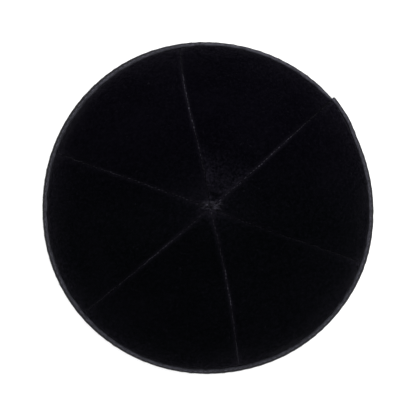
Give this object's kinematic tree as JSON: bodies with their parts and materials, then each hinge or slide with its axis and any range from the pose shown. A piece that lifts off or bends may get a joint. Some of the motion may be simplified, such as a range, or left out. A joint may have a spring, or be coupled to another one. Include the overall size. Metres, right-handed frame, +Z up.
{
  "type": "kippah skullcap",
  "caption": "Shallow domed skullcap of black velvet gores sewn together to a low point, its rim bound with a folded dark grey tape whose end laps over its start.",
  "frame": {"origin": "centre of the rim's footprint, on the surface that the cap rests on", "axes": "+Z up through the crown, +X and +Y to the right and the top of the cap as the picture shows it from above"},
  "size_m": [0.1668, 0.167, 0.0534],
  "materials": {
    "velvet": "black velvet with a short dense pile",
    "binding_tape": "dark grey woven tape with fine ribs across it"
  },
  "bodies": {
    "root": {"velvet_panel_1": "velvet", "velvet_panel_2": "velvet", "velvet_panel_3": "velvet", "velvet_panel_4": "velvet", "velvet_panel_5": "velvet", "velvet_panel_6": "velvet", "rim_binding": "binding_tape"}
  },
  "joints": []
}
